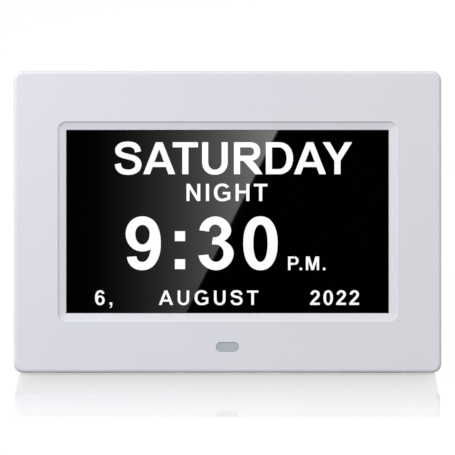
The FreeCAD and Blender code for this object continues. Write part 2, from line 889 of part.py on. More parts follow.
def cable_connector():
    body = new_part("cable_connector")
    half = "(cable_width / 2 + connector_side)"
    low = "(board_low + connector_rise)"
    add(
        body, "housing", "y", "board_front - connector_depth", "board_front",
        box(f"-{half}", half, low, f"{low} + connector_height"),
    )
    return body


def board_chips():
    """Processor, memory, clock chip and coil in a row on the back of the board, and a coil below."""
    body = new_part("board_chips")
    chips = [
        ("0", "chip_row", "processor_size", "processor_size"),
        ("-chip_pitch", "chip_row", "memory_width", "memory_length"),
        ("-chip_pitch * 2", "chip_row", "memory_length", "memory_width"),
        ("chip_pitch * 2", "chip_row", "coil_size", "coil_size"),
        ("-chip_pitch * 2", "coil_row", "coil_size", "coil_size"),
    ]
    add(
        body, "packages", "y", BOARD_REAR, f"{BOARD_REAR} + chip_height",
        *[
            box(f"{x} - {wide} / 2", f"{x} + {wide} / 2", f"{z} - {high} / 2", f"{z} + {high} / 2")
            for x, z, wide, high in chips
        ],
    )
    return body


def key_switches():
    body = new_part("key_switches")
    half = "switch_size / 2"
    low, high = f"{BUTTON_HEIGHT} - {half}", f"{BUTTON_HEIGHT} + {half}"
    add(
        body, "bodies", "y", BOARD_REAR, SWITCH_FACE,
        *[box(f"{across} - {half}", f"{across} + {half}", low, high) for across in BUTTON_PLACES],
    )
    # Each plunger is drawn where the button presses it to at the end of its travel.
    add(
        body, "plungers", "y", SWITCH_FACE, f"{SWITCH_FACE} + switch_plunger",
        *[disc(across, BUTTON_HEIGHT, "button_stem") for across in BUTTON_PLACES],
    )
    return body


def button(name, across):
    """A round button: cap, retaining flange inside the wall, and a stem to its key switch."""
    body = new_part(f"button_{name}")
    flange_rear = f"({INNER_REAR} - button_rest_gap)"
    flange_front = f"({flange_rear} - button_flange_depth)"
    stem_end = f"({SWITCH_FACE} + switch_plunger + button_travel + button_stem_gap)"
    cap_end = f"({REAR} + button_proud)"
    flange_radius = "button_radius + button_flange"
    add(body, "flange", "y", flange_front, flange_rear, disc(across, BUTTON_HEIGHT, flange_radius))
    add(body, "cap", "y", flange_rear, cap_end, disc(across, BUTTON_HEIGHT, "button_radius"))
    add(body, "stem", "y", stem_end, flange_front, disc(across, BUTTON_HEIGHT, "button_stem"))
    rear = value(cap_end)
    dress(body, "Fillet", "cap_rounding", "button_round", lambda edge: at_depth(edge, rear))
    return body


def cell_holder():
    body = new_part("cell_holder")
    centre = ("cell_offset", "cell_height")
    outer = "(cell_radius + panel_fit + holder_wall)"
    seat = f"({BOARD_REAR} + holder_base)"
    add(body, "base", "y", BOARD_REAR, seat, disc(*centre, outer))
    add(
        body, "ring", "y", seat, f"{seat} + cell_thickness - cell_proud",
        disc(*centre, outer),
        disc(*centre, "cell_radius + panel_fit"),
    )
    return body


def coin_cell():
    body = new_part("coin_cell")
    start = f"({BOARD_REAR} + holder_base)"
    end = f"({start} + cell_thickness)"
    add(body, "can", "y", start, end, disc("cell_offset", "cell_height", "cell_radius"))
    rear = value(end)
    dress(body, "Fillet", "can_rounding", "cell_round", lambda edge: at_depth(edge, rear))
    return body


def ir_board():
    body = new_part("ir_board")
    add(
        body, "plate", "y", IR_BOARD_FRONT, IR_BOARD_REAR,
        box(
            "-ir_board_width / 2", "ir_board_width / 2",
            "window_centre - ir_board_height / 2", "window_centre + ir_board_height / 2",
        ),
    )
    cut(
        body, "screw_holes", "y", IR_BOARD_FRONT, IR_BOARD_REAR,
        *[disc(across, up, "small_screw_radius + joint_gap") for across, up in IR_SCREWS],
    )
    return body


def ir_receiver():
    """The sensor block on its board, with the round lens bump that faces the window."""
    body = new_part("ir_receiver")
    half = "receiver_width / 2"
    lens_rear = f"({IR_BOARD_FRONT} - receiver_depth / 2)"
    add(
        body, "block", "y", lens_rear, IR_BOARD_FRONT,
        box(f"-{half}", half, f"window_centre - {half}", f"window_centre + {half}"),
    )
    add(
        body, "lens", "y", f"{IR_BOARD_FRONT} - receiver_depth", lens_rear,
        disc("0", "window_centre", "receiver_lens"),
    )
    return body


def ir_window():
    """A tinted pill, a little below the front face, with a flange behind the wall."""
    body = new_part("ir_window")
    add(body, "pill", "y", "window_sink", "case_wall", ir_pill("0"))
    add(body, "flange", "y", "case_wall", FLANGE_REAR, ir_pill("window_flange"))
    return body


def speaker():
    body = new_part("speaker")
    centre = (SPEAKER_PLACE, "speaker_height")
    front = f"({INNER_REAR} - speaker_depth)"
    rim = f"({INNER_REAR} - speaker_rim)"
    add(body, "rim", "y", rim, INNER_REAR, disc(*centre, "speaker_radius"))
    inside = "speaker_radius - speaker_rim"
    add(body, "basket", "y", f"{rim} - speaker_rim", rim, disc(*centre, inside))
    add(body, "magnet", "y", front, f"{rim} - speaker_rim", disc(*centre, "magnet_radius"))
    cut(body, "cone_room", "y", f"{INNER_REAR} - speaker_cone", INNER_REAR, disc(*centre, inside))
    return body


# ------------------------------------------------------------------------------------------- ports

def usb_box(margin):
    """The outline of the USB shell across its length, made larger by margin."""
    return box(
        f"{BOARD_REAR} - {margin}", f"{BOARD_REAR} + usb_depth + {margin}",
        f"{USB_HEIGHT} - usb_width / 2 - {margin}", f"{USB_HEIGHT} + usb_width / 2 + {margin}",
    )


def card_box(margin):
    """The outline of the card socket across its length, made larger by margin."""
    return box(
        f"{BOARD_REAR} - {margin}", f"{BOARD_REAR} + card_depth + {margin}",
        f"{CARD_HEIGHT} - card_width / 2 - {margin}", f"{CARD_HEIGHT} + card_width / 2 + {margin}",
    )


def dc_jack():
    body = new_part("dc_jack")
    half = "jack_size / 2"
    back = f"({INNER_SIDE} - jack_length)"
    near = f"({INNER_SIDE} - port_gap)"
    add(
        body, "block", "x", back, near,
        box(BOARD_REAR, f"{BOARD_REAR} + jack_size", f"jack_height - {half}", f"jack_height + {half}"),
    )
    add(body, "nose", "x", near, PORT_FACE, disc(JACK_DEPTH, "jack_height", "jack_nose"))
    cut(body, "bore", "x", f"{back} + jack_block", PORT_FACE, disc(JACK_DEPTH, "jack_height", "jack_bore"))
    pin_end = f"{PORT_FACE} - jack_pin_sink"
    add(body, "centre_pin", "x", f"{back} + jack_block", pin_end, disc(JACK_DEPTH, "jack_height", "jack_pin"))
    return body


def usb_port():
    body = new_part("usb_port")
    back = f"({PORT_FACE} - usb_length)"
    add(body, "shell", "x", back, PORT_FACE, usb_box("0"))
    cut(body, "mouth", "x", f"{back} + usb_block", PORT_FACE, usb_box("-usb_sheet"))
    middle = f"({BOARD_REAR} + usb_depth / 2)"
    half = "(usb_width / 2 - usb_sheet * 2)"
    add(
        body, "tongue", "x", f"{back} + usb_block", f"{PORT_FACE} - usb_tongue_sink",
        box(middle, f"{middle} + usb_tongue", f"{USB_HEIGHT} - {half}", f"{USB_HEIGHT} + {half}"),
    )
    return body


def sd_socket():
    body = new_part("sd_socket")
    back = f"({PORT_FACE} - card_length)"
    add(body, "shell", "x", back, PORT_FACE, card_box("0"))
    cut(body, "mouth", "x", f"{back} + card_block", PORT_FACE, card_box("-card_sheet"))
    return body


# ------------------------------------------------------------------------------------ stand and feet


def stand_leg():
    """The fold-out leg, drawn folded about its own hinge axis, which is its origin."""
    body = new_part("stand_leg", f"{LEANING} * {UNFOLDED}")
    add(body, "plate", "x", f"-{LEG_SIDE}", LEG_SIDE, leg_profile)
    # Shallow moulded rooms on the face that folds against the case, with ribs between them.
    room_side = f"({LEG_SIDE} - leg_wall)"
    for name, left, right in (
        ("room_left", f"-{room_side}", "-leg_wall / 2"),
        ("room_right", "leg_wall / 2", room_side),
    ):
        cut(
            body, name, "y", f"-{LEG_HALF}", f"{LEG_HALF} - leg_wall",
            box(left, right, f"-({LEG_LENGTH} - foot_tenon_height - leg_wall)", f"-({LEG_HALF} + leg_wall)"),
        )
    cut(body, "pin_hole", "x", f"-{LEG_SIDE}", LEG_SIDE, disc("0", "0", "pin_radius + pin_clearance"))
    cut(body, "foot_groove", "z", f"-{LEG_LENGTH}", f"-{LEG_LENGTH} + foot_tenon_height", foot_tenon())
    outside, side = value(LEG_HALF), value(LEG_SIDE)
    dress(
        body, "Fillet", "side_rounding", "leg_round",
        lambda edge: at_depth(edge, outside) and abs(edge.CenterOfMass.x) > side - TOUCHING,
    )
    return body


def leg_profile(sketch, rules):
    """Side view of the leg: round behind the hinge, with a square heel that stops on the recess."""
    corners = [
        (f"-{LEG_HALF}", HEEL),
        (f"-{LEG_HALF}", f"-{LEG_LENGTH}"),
        (LEG_HALF, f"-{LEG_LENGTH}"),
        (LEG_HALF, "0"),
        ("0", LEG_HALF),
    ]
    points = [FreeCAD.Vector(value(across), value(up), 0) for across, up in corners]
    sides = [sketch.addGeometry(Part.LineSegment(points[i], points[i + 1]), False) for i in range(3)]
    circle = Part.Circle(FreeCAD.Vector(0, 0, 0), FreeCAD.Vector(0, 0, 1), value(LEG_HALF))
    arc = sketch.addGeometry(Part.ArcOfCircle(circle, 0, QUARTER_TURN), False)
    heel = sketch.addGeometry(Part.LineSegment(points[4], points[0]), False)
    rules.append(join(sides[0], 2, sides[1], 1))
    rules.append(join(sides[1], 2, sides[2], 1))
    rules.append(join(sides[2], 2, arc, 1))
    rules.append(join(arc, 2, heel, 1))
    rules.append(join(heel, 2, sides[0], 1))
    rules.append(join(arc, 3, -1, 1))
    for i, side in enumerate(sides):
        rules.extend(place(side, 1, *corners[i]))
    rules.extend(place(sides[2], 2, *corners[3]))
    rules.extend(place(heel, 1, across=corners[4][0]))


def foot_tenon():
    """The outline of the strip that holds the rubber foot in the leg, seen along the leg."""
    return box(f"-{FOOT_SIDE}", FOOT_SIDE, "-foot_tenon / 2", "foot_tenon / 2")


def stand_foot():
    """The rubber strip on the end of the leg: a half round, with a tenon in the leg's groove."""
    body = new_part("stand_foot", f"{LEANING} * {UNFOLDED}")
    add(body, "round", "x", f"-{FOOT_SIDE}", FOOT_SIDE, half_round(LEG_HALF, f"-{LEG_LENGTH}"))
    add(body, "tenon", "z", f"-{LEG_LENGTH}", f"-{LEG_LENGTH} + foot_tenon_height", foot_tenon())
    return body


def half_round(radius, up):
    """The lower half of a disc, below the height up."""

    def draw(sketch, rules):
        r, y = value(radius), value(up)
        circle = Part.Circle(FreeCAD.Vector(0, y, 0), FreeCAD.Vector(0, 0, 1), r)
        arc = sketch.addGeometry(Part.ArcOfCircle(circle, 2 * QUARTER_TURN, 4 * QUARTER_TURN), False)
        line = sketch.addGeometry(Part.LineSegment(FreeCAD.Vector(r, y, 0), FreeCAD.Vector(-r, y, 0)), False)
        rules.append(join(arc, 2, line, 1))
        rules.append(join(line, 2, arc, 1))
        rules.append((Sketcher.Constraint("PointOnObject", arc, 3, line), None))
        rules.append((Sketcher.Constraint("Horizontal", line), None))
        rules.extend(place(line, 1, radius, up))
        rules.extend(place(arc, 3, across="0"))

    return draw


def stand_pin():
    body = new_part("stand_pin")
    rod = disc(HINGE_DEPTH, "hinge_height", "pin_radius")
    add(body, "rod", "x", f"-{RECESS_OUTSIDE}", RECESS_OUTSIDE, rod)
    return body


def base_pads():
    """Two rubber strips whose lower faces lie flat on the table when the clock leans back."""
    body = new_part("base_pads")
    for name, sign in (("left", -1), ("right", 1)):
        add(
            body, name, "x", *pad_span(sign),
            outline(
                (PAD_FRONT, "pad_seat"),
                (PAD_FRONT, "-pad_height - pad_length * tan(lean_angle)"),
                (PAD_REAR, "-pad_height"),
                (PAD_REAR, "pad_seat"),
            ),
        )
    return body


# ------------------------------------------------------------------------------------------- build

front_bezel()
back_cover()
ir_window()
lcd_gasket()
lcd_frame()
lcd_glass()
lcd_backlight()
lcd_brackets()
screw_group(
    "lcd_screws", BRACKETS, BRACKET_REAR, f"{BRACKET_REAR} + small_head_height",
    f"{BRACKET_REAR} - small_screw_length", "small_head_radius", "small_screw_radius", "rear",
)
lcd_cable()
main_board()
cable_connector()
board_chips()
key_switches()
for button_name, button_place in zip(BUTTONS, BUTTON_PLACES):
    button(button_name, button_place)
screw_group(
    "board_screws", BOARD_POSTS, "board_front - small_head_height", "board_front",
    "board_front + small_screw_length", "small_head_radius", "small_screw_radius", "front",
)
cell_holder()
coin_cell()
ir_board()
ir_receiver()
screw_group(
    "ir_screws", IR_SCREWS, IR_BOARD_REAR, f"{IR_BOARD_REAR} + small_head_height",
    f"{IR_BOARD_REAR} - small_screw_length", "small_head_radius", "small_screw_radius", "rear",
)
speaker()
dc_jack()
usb_port()
sd_socket()
screw_group(
    "case_screws", CASE_SCREWS, HEAD_SEAT, f"{HEAD_SEAT} + head_height",
    f"{HEAD_SEAT} - screw_length", "head_radius", "screw_radius", "rear",
)
stand_leg()
stand_foot()
stand_pin()
base_pads()
doc.recompute()

# ------------------------------------------------------------------------------- check and export

for item in doc.Objects:
    if any(word in item.State for word in ("Invalid", "Error")):
        raise RuntimeError(f"{item.Label} ({item.Name}) failed: {item.State}")
for feature in checked_cuts:
    if feature.Shape.Volume > feature.BaseFeature.Shape.Volume - LEAST_CUT:
        raise RuntimeError(f"{feature.Name} cuts nothing")
for body in parts:
    if body.Shape.isNull() or not body.Shape.isValid():
        raise RuntimeError(f"{body.Label} has no valid shape")

os.makedirs("parts", exist_ok=True)
for body in parts:
    body.Shape.exportStep(f"parts/{body.Label}.step")
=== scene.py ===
import json
import math

import bmesh
import bpy
from mathutils import Matrix, Vector, geometry


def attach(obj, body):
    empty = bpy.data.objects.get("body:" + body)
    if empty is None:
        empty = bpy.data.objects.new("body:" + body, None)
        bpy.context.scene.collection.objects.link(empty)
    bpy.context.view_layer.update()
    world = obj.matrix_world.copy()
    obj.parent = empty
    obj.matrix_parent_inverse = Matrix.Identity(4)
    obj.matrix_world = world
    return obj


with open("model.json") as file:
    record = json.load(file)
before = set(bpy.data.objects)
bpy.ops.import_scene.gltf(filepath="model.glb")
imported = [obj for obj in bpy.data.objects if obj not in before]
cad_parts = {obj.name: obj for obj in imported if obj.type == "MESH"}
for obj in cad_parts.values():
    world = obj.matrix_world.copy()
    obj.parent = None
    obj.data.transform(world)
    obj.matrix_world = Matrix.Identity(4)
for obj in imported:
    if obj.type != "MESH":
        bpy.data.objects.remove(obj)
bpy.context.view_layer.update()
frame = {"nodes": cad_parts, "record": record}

# Dementia day clock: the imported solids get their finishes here, and the screen gets its words.
# Lengths are in metres. Most pieces are laid out in the upright frame of the case: X to the
# viewer's right, Y from the front face to the back, Z up from the bottom edge.

NODES = frame["nodes"]

# ---------------------------------------------------------------------------- frame of the case


def lean_angle():
    """How far the case leans back, from the direction that its back faces."""
    mounts = frame["record"]["mounts"]
    back = next(mount["axis"] for mount in mounts if mount["name"] == "keyhole_left")
    return math.atan2(-back[2], back[1])


TURN = Matrix.Rotation(-lean_angle(), 4, "X")


def turned_box(node, turn):
    """The lowest and highest corners of a node along the axes of a turned frame."""
    inverse = turn.inverted()
    points = [inverse @ vertex.co for vertex in NODES[node].data.vertices]
    low = Vector([min(point[i] for point in points) for i in range(3)])
    high = Vector([max(point[i] for point in points) for i in range(3)])
    return low, high


SHELL_LOW, SHELL_HIGH = turned_box("front_bezel", TURN)
CASE_FRAME = TURN @ Matrix.Translation((0, SHELL_LOW.y, SHELL_LOW.z))
CASE_HEIGHT = SHELL_HIGH.z - SHELL_LOW.z
CASE_WIDTH = SHELL_HIGH.x - SHELL_LOW.x


def case_box(node):
    """The lowest and highest corners of a node in the frame of the case."""
    return turned_box(node, CASE_FRAME)


# ----------------------------------------------------------------------- objects and their nodes

WHITE = (1, 1, 1, 1)


def new_object(name, data):
    made = bpy.data.objects.new(name, data)
    bpy.context.scene.collection.objects.link(made)
    return made


def new_material(name):
    material = bpy.data.materials.new(name)
    material.use_nodes = True
    return material, material.node_tree, material.node_tree.nodes["Principled BSDF"]


def set_inputs(node, settings):
    """Sets inputs of a shader node, each given by its name or its number."""
    for key, setting in settings.items():
        node.inputs[key].default_value = setting


def add_node(tree, kind, **settings):
    """A new shader node. Each setting is for its input of that name, or else for the node."""
    node = tree.nodes.new(kind)
    for key, setting in settings.items():
        if key in node.inputs:
            node.inputs[key].default_value = setting
        else:
            setattr(node, key, setting)
    return node


def connect(tree, *links):
    """Each link: a node and its output, then the node and the input that it goes to."""
    for source, output, target, entry in links:
        tree.links.new(source.outputs[output], target.inputs[entry])


# The part of the noise's range over which a colour changes.
COLOUR_SPAN = (0.3, 0.7)


def object_noise(tree, scale, detail=4.0):
    """Noise that is fixed to the object, with its scale in waves per metre."""
    place = add_node(tree, "ShaderNodeTexCoord")
    noise = add_node(tree, "ShaderNodeTexNoise", Scale=scale, Detail=detail)
    connect(tree, (place, "Object", noise, "Vector"))
    return noise


def varied_colour(tree, shader, noise, colour, spread):
    """The base colour goes a little darker and lighter with the noise."""
    ramp = add_node(tree, "ShaderNodeValToRGB")
    for i, side in enumerate((1 - spread, 1 + spread)):
        stop = ramp.color_ramp.elements[i]
        stop.position = COLOUR_SPAN[i]
        stop.color = (*[min(1.0, part * side) for part in colour], 1)
    connect(tree, (noise, "Fac", ramp, "Fac"), (ramp, "Color", shader, "Base Color"))


def varied_roughness(tree, shader, noise, low, high):
    """The roughness goes from low to high with the noise."""
    span = add_node(tree, "ShaderNodeMapRange")
    set_inputs(span, {"To Min": low, "To Max": high})
    connect(tree, (noise, "Fac", span, "Value"), (span, "Result", shader, "Roughness"))


def fine_bump(tree, shader, noise, strength, distance):
    """Small bumps that follow the noise."""
    bump = add_node(tree, "ShaderNodeBump", Strength=strength, Distance=distance)
    connect(tree, (noise, "Fac", bump, "Height"), (bump, "Normal", shader, "Normal"))


def moulded_plastic(name, colour, rough=(0.34, 0.42)):
    """Moulded plastic: an almost even colour, with a fine grain from the mould."""
    material, tree, shader = new_material(name)
    varied_colour(tree, shader, object_noise(tree, scale=9), colour, spread=0.012)
    varied_roughness(tree, shader, object_noise(tree, scale=60), *rough)
    grain = object_noise(tree, scale=2600, detail=2)
    fine_bump(tree, shader, grain, strength=0.25, distance=0.00001)
    return material


def metal(name, colour, rough=(0.25, 0.4)):
    """Bare metal, a little uneven in colour and shine."""
    material, tree, shader = new_material(name)
    varied_colour(tree, shader, object_noise(tree, scale=120), colour, spread=0.05)
    varied_roughness(tree, shader, object_noise(tree, scale=400), *rough)
    set_inputs(shader, {"Metallic": 1.0})
    return material


def rubber(name, colour):
    """Rubber or foam: dull and dark, with an uneven skin."""
    material, tree, shader = new_material(name)
    varied_colour(tree, shader, object_noise(tree, scale=300), colour, spread=0.15)
    varied_roughness(tree, shader, object_noise(tree, scale=500), low=0.7, high=0.85)
    skin = object_noise(tree, scale=2500, detail=2)
    fine_bump(tree, shader, skin, strength=0.4, distance=0.00003)
    set_inputs(shader, {"Specular IOR Level": 0.3})
    return material


def display_black(name, colour):
    """The face of the display: black, under a hard clear glossy film."""
    material, tree, shader = new_material(name)
    varied_colour(tree, shader, object_noise(tree, scale=40), colour, spread=0.2)
    varied_roughness(tree, shader, object_noise(tree, scale=30), low=0.012, high=0.02)
    return material


def lit_white(name, colour):
    """Letters of the display: lit white, under the same film. The colour is that of them unlit."""
    material, tree, shader = new_material(name)
    varied_colour(tree, shader, object_noise(tree, scale=40), colour, spread=0.02)
    set_inputs(shader, {"Roughness": 0.05, "Emission Color": WHITE, "Emission Strength": 0.96})
    return material


def tinted_window(name, colour):
    """Infrared window: smooth grey plastic with a soft shine."""
    material, tree, shader = new_material(name)
    varied_colour(tree, shader, object_noise(tree, scale=200), colour, spread=0.02)
    varied_roughness(tree, shader, object_noise(tree, scale=400), low=0.16, high=0.22)
    return material


# ------------------------------------------------------------------------------------- finishes

LIT_WHITE = lit_white("lit_white", (0.02, 0.02, 0.02))
PRINT_GREY = moulded_plastic("printed_grey", (0.16, 0.16, 0.17), rough=(0.5, 0.6))

# The finish of each material slot in the record.
FINISHES = {
    "case": moulded_plastic("case_plastic", (0.713, 0.72, 0.752), rough=(0.44, 0.52)),
    "buttons": moulded_plastic("button_plastic", (0.55, 0.555, 0.59), rough=(0.3, 0.38)),
    "rubber": rubber("soft_rubber", (0.03, 0.03, 0.032)),
    "steel": metal("zinc_plated_steel", (0.62, 0.62, 0.63)),
    "display_glass": display_black("display_black", (0.0003, 0.0003, 0.0003)),
    "display_metal": metal("display_sheet_metal", (0.56, 0.56, 0.57), rough=(0.3, 0.45)),
    "light_guide": moulded_plastic("light_guide_plastic", (0.8, 0.8, 0.8)),
    "ir_tint": tinted_window("infrared_window", (0.42, 0.474, 0.49)),
    "foam": rubber("black_foam", (0.015, 0.015, 0.015)),
    "circuit_board": moulded_plastic("board_lacquer", (0.012, 0.11, 0.045), rough=(0.2, 0.3)),
    "black_plastic": moulded_plastic("black_plastic", (0.02, 0.02, 0.021), rough=(0.4, 0.5)),
    "flex_film": moulded_plastic("flex_film", (0.45, 0.2, 0.04), rough=(0.25, 0.35)),
}


def finish_nodes():
    """Each node of the frame takes the finish of its material slot."""
    for subpart in frame["record"]["subparts"]:
        node = NODES[subpart["node"]]
        for slot in node.material_slots:
            slot.material = FINISHES[subpart["material_slot"]]


# ---------------------------------------------------------------------------------- flat shapes
#
# A flat shape is a list of outlines, which may overlap. Letters are drawn at a cap height of 1.

# Steps in a quarter turn of a ring, and from one point of a ribbon to the next.
ARC_STEPS = 14
RIBBON_STEPS = 6


def bar(x0, y0, x1, y1):
    return [(x0, y0), (x1, y0), (x1, y1), (x0, y1)]


def ring(x0, y0, x1, y1, start, end, stem, edge, power=2.2):
    """Part of a ring inside a box, from one angle to another, in degrees.

    Its width is stem at the left and right, and edge at the top and bottom. A power of 2 gives
    an ellipse, and a higher one has fuller corners.
    """
    middle_x, middle_y = (x0 + x1) / 2, (y0 + y1) / 2
    wide, high = (x1 - x0) / 2, (y1 - y0) / 2
    steps = max(2, round(ARC_STEPS * abs(end - start) / 90))

    def at(angle, across, up):
        x, y = math.cos(angle), math.sin(angle)
        return (
            middle_x + across * math.copysign(abs(x) ** (2 / power), x),
            middle_y + up * math.copysign(abs(y) ** (2 / power), y),
        )

    angles = [math.radians(start + (end - start) * i / steps) for i in range(steps + 1)]
    outer = [at(angle, wide, high) for angle in angles]
    inner = [at(angle, wide - stem, high - edge) for angle in reversed(angles)]
    return outer + inner


def ribbon(points, stem, edge):
    """A smooth stroke through the points: stem wide where it goes up, edge where it goes across."""
    smooth = []
    for i in range(len(points) - 1):
        before = Vector(points[max(i - 1, 0)])
        start, end = Vector(points[i]), Vector(points[i + 1])
        after = Vector(points[min(i + 2, len(points) - 1)])
        for step in range(RIBBON_STEPS):
            u = step / RIBBON_STEPS
            smooth.append(
                0.5
                * (
                    2 * start
                    + (end - before) * u
                    + (2 * before - 5 * start + 4 * end - after) * u * u
                    + (3 * start - before - 3 * end + after) * u**3
                )
            )
    smooth.append(Vector(points[-1]))
    left, right = [], []
    for i, point in enumerate(smooth):
        along = (smooth[min(i + 1, len(smooth) - 1)] - smooth[max(i - 1, 0)]).normalized()
        across = Vector((-along.y, along.x)) * (edge + (stem - edge) * abs(along.y)) / 2
        left.append(tuple(point + across))
        right.append(tuple(point - across))
    return left + right[::-1]


# Widths of the strokes that go up and of those that go across.
STEM, EDGE = 0.2, 0.17
# Round letters reach a little past the line and the cap height.
LOW_ROUND, HIGH_ROUND = -0.017, 1.017
LEFT_STEM = bar(0.1, 0, 0.1 + STEM, 1)
DIGIT_ADVANCE = 0.777
S_STROKE = [
    (0.765, 0.69), (0.73, 0.81), (0.63, 0.9), (0.46, 0.933), (0.28, 0.905), (0.175, 0.82),
    (0.155, 0.725), (0.2, 0.64), (0.32, 0.585), (0.47, 0.545), (0.64, 0.495), (0.745, 0.41),
    (0.775, 0.295), (0.73, 0.17), (0.62, 0.095), (0.46, 0.067), (0.28, 0.1), (0.175, 0.195),
    (0.135, 0.335),
]
TWO_STROKE = [
    (0.155, 0.7), (0.185, 0.81), (0.27, 0.9), (0.385, 0.93), (0.51, 0.9), (0.595, 0.81),
    (0.605, 0.69), (0.55, 0.57), (0.42, 0.43), (0.28, 0.29), (0.17, 0.14), (0.14, 0.05),
]

# Each letter: its advance, then its outlines.
LETTERS = {
    "A": (1.0, [
        [(0, 0), (0.22, 0), (0.503, 0.765), (0.787, 0), (1.007, 0), (0.612, 1), (0.395, 1)],
        bar(0.26, 0.222, 0.745, 0.385),
    ]),
    "D": (1.0, [
        LEFT_STEM, bar(0.2, 1 - EDGE, 0.5, 1), bar(0.2, 0, 0.5, EDGE),
        ring(0.05, 0, 0.95, 1, -90, 90, 0.21, EDGE),
    ]),
    "G": (1.087, [
        ring(0.06, LOW_ROUND, 1.03, HIGH_ROUND, 36, 305, 0.215, EDGE),
        bar(0.56, 0.375, 1.01, 0.54), bar(0.815, 0.115, 1.01, 0.5),
        [(0.7, -0.005), (1.01, 0.115), (0.815, 0.25), (0.72, 0.165)],
    ]),
    "H": (1.0, [LEFT_STEM, bar(0.705, 0, 0.905, 1), bar(0.2, 0.44, 0.8, 0.612)]),
    "I": (0.39, [LEFT_STEM]),
    "M": (1.165, [
        bar(0.1, 0, 0.285, 1), bar(0.88, 0, 1.065, 1),
        [(0.18, 1), (0.49, 0), (0.675, 0), (0.385, 1)],
        [(0.78, 1), (0.49, 0), (0.675, 0), (0.985, 1)],
    ]),
    "N": (1.0, [
        bar(0.1, 0, 0.29, 1), bar(0.715, 0, 0.905, 1),
        [(0.1, 1), (0.7, 0), (0.905, 0), (0.305, 1)],
    ]),
    "P": (0.93, [
        LEFT_STEM, bar(0.2, 1 - EDGE, 0.55, 1), bar(0.2, 0.375, 0.55, 0.375 + EDGE),
        ring(0.24, 0.375, 0.87, 1, -90, 90, STEM, EDGE),
    ]),
    "R": (1.0, [
        LEFT_STEM, bar(0.2, 1 - EDGE, 0.6, 1), bar(0.2, 0.415, 0.6, 0.415 + EDGE),
        ring(0.28, 0.415, 0.92, 1, -90, 90, STEM, EDGE),
        [(0.38, 0.43), (0.76, 0), (1.0, 0), (0.83, 0.265), (0.7, 0.41), (0.6, 0.45)],
    ]),
    "S": (0.93, [ribbon(S_STROKE, 0.2, 0.172)]),
    "T": (0.853, [bar(0.03, 1 - EDGE, 0.823, 1), bar(0.326, 0, 0.527, 0.9)]),
    "U": (1.0, [
        bar(0.1, 0.38, 0.3, 1), bar(0.703, 0.38, 0.903, 1),
        ring(0.1, LOW_ROUND, 0.903, 0.8, 180, 360, STEM, EDGE),
    ]),
    "Y": (0.93, [
        [(0, 1), (0.366, 0.42), (0.366, 0.3), (0.568, 0.3), (0.568, 0.42), (0.237, 1)],
        [(0.697, 1), (0.366, 0.44), (0.366, 0.3), (0.568, 0.3), (0.568, 0.42), (0.932, 1)],
        bar(0.366, 0, 0.568, 0.4),
    ]),
    "0": (DIGIT_ADVANCE, [
        ring(0.055, LOW_ROUND, 0.722, HIGH_ROUND, start, start + 180, 0.2, 0.165, 2.25)
        for start in (0, 180)
    ]),
    "2": (DIGIT_ADVANCE, [ribbon(TWO_STROKE, 0.2, 0.175), bar(0.035, 0, 0.715, 0.177)]),
    "3": (DIGIT_ADVANCE, [
        ring(0.061, 0.461, 0.667, 1.016, -5, 179, 0.188, 0.162, 1.9),
        ring(0.061, 0.496, 0.667, 0.981, -90, 5, 0.188, 0.122, 1.9),
        [(0.065, 0.744), (0.249, 0.744), (0.249, 0.718)],
        [(0.295, 0.473), (0.377, 0.473), (0.377, 0.618), (0.316, 0.618)],
        ring(0.039, LOW_ROUND, 0.714, 0.632, -173, 5, 0.195, 0.166, 1.94),
        ring(0.039, 0.033, 0.714, 0.582, -5, 90, 0.195, 0.11, 1.94),
    ]),
    "9": (DIGIT_ADVANCE, [
        ring(0.05, 0.341, 0.694, HIGH_ROUND, 0, 180, 0.189, 0.171, 2.05),
        ring(0.05, 0.341, 0.694, HIGH_ROUND, 180, 360, 0.189, 0.139, 2.05),
        ring(0.005, LOW_ROUND, 0.724, 1.02, 266, 390, 0.191, 0.163, 2.23),
        ring(0.074, LOW_ROUND, 0.656, 0.547, 184, 274, 0.187, 0.163, 2.12),
    ]),
    ".": (0.388, [bar(0.095, 0, 0.295, 0.2)]),
    ",": (0.388, [
        bar(0.095, 0, 0.295, 0.2),
        [
            (0.18, 0), (0.175, -0.09), (0.1, -0.145), (0.135, -0.225), (0.255, -0.15),
            (0.295, -0.03), (0.295, 0.05),
        ],
    ]),
    ":": (0.5, [bar(0.15, 0.004, 0.35, 0.2), bar(0.15, 0.537, 0.35, 0.733)]),
}
# A six is a nine turned round.
LETTERS["6"] = (
    DIGIT_ADVANCE,
    [[(DIGIT_ADVANCE - x, 1 - y) for x, y in outline] for outline in LETTERS["9"][1]],
)
# What is added to the advance where two such letters meet.
CLOSER = {"AT": -0.1, "AY": -0.1, "DA": -0.02, "P.": -0.16}

# The inset at a corner is divided by at least this, so that a sharp corner isn't moved too far.
MITRE_LIMIT = 0.3
# For delaunay_2d_cdt: only the triangles inside the outlines, and the distance below which two
# points count as one.
INSIDE_ONLY, SAME_POINT = 1, 1e-7


def narrow(work, inset):
    """Moves the outline of a flat sheet in the plane Y = 0 inwards, for thinner strokes."""
    sides = {}
    for edge in work.edges:
        if len(edge.link_faces) == 1:
            start, end = (vert.co for vert in edge.verts)
            out = Vector((end.z - start.z, 0, start.x - end.x)).normalized()
            if out.dot(edge.link_faces[0].calc_center_median() - start) > 0:
                out.negate()
            for vert in edge.verts:
                sides.setdefault(vert, []).append(out)
    for vert, outs in sides.items():
        if len(outs) == 2:
            mitre = max(1 + outs[0].dot(outs[1]), MITRE_LIMIT)
            vert.co -= (outs[0] + outs[1]) * inset / mitre


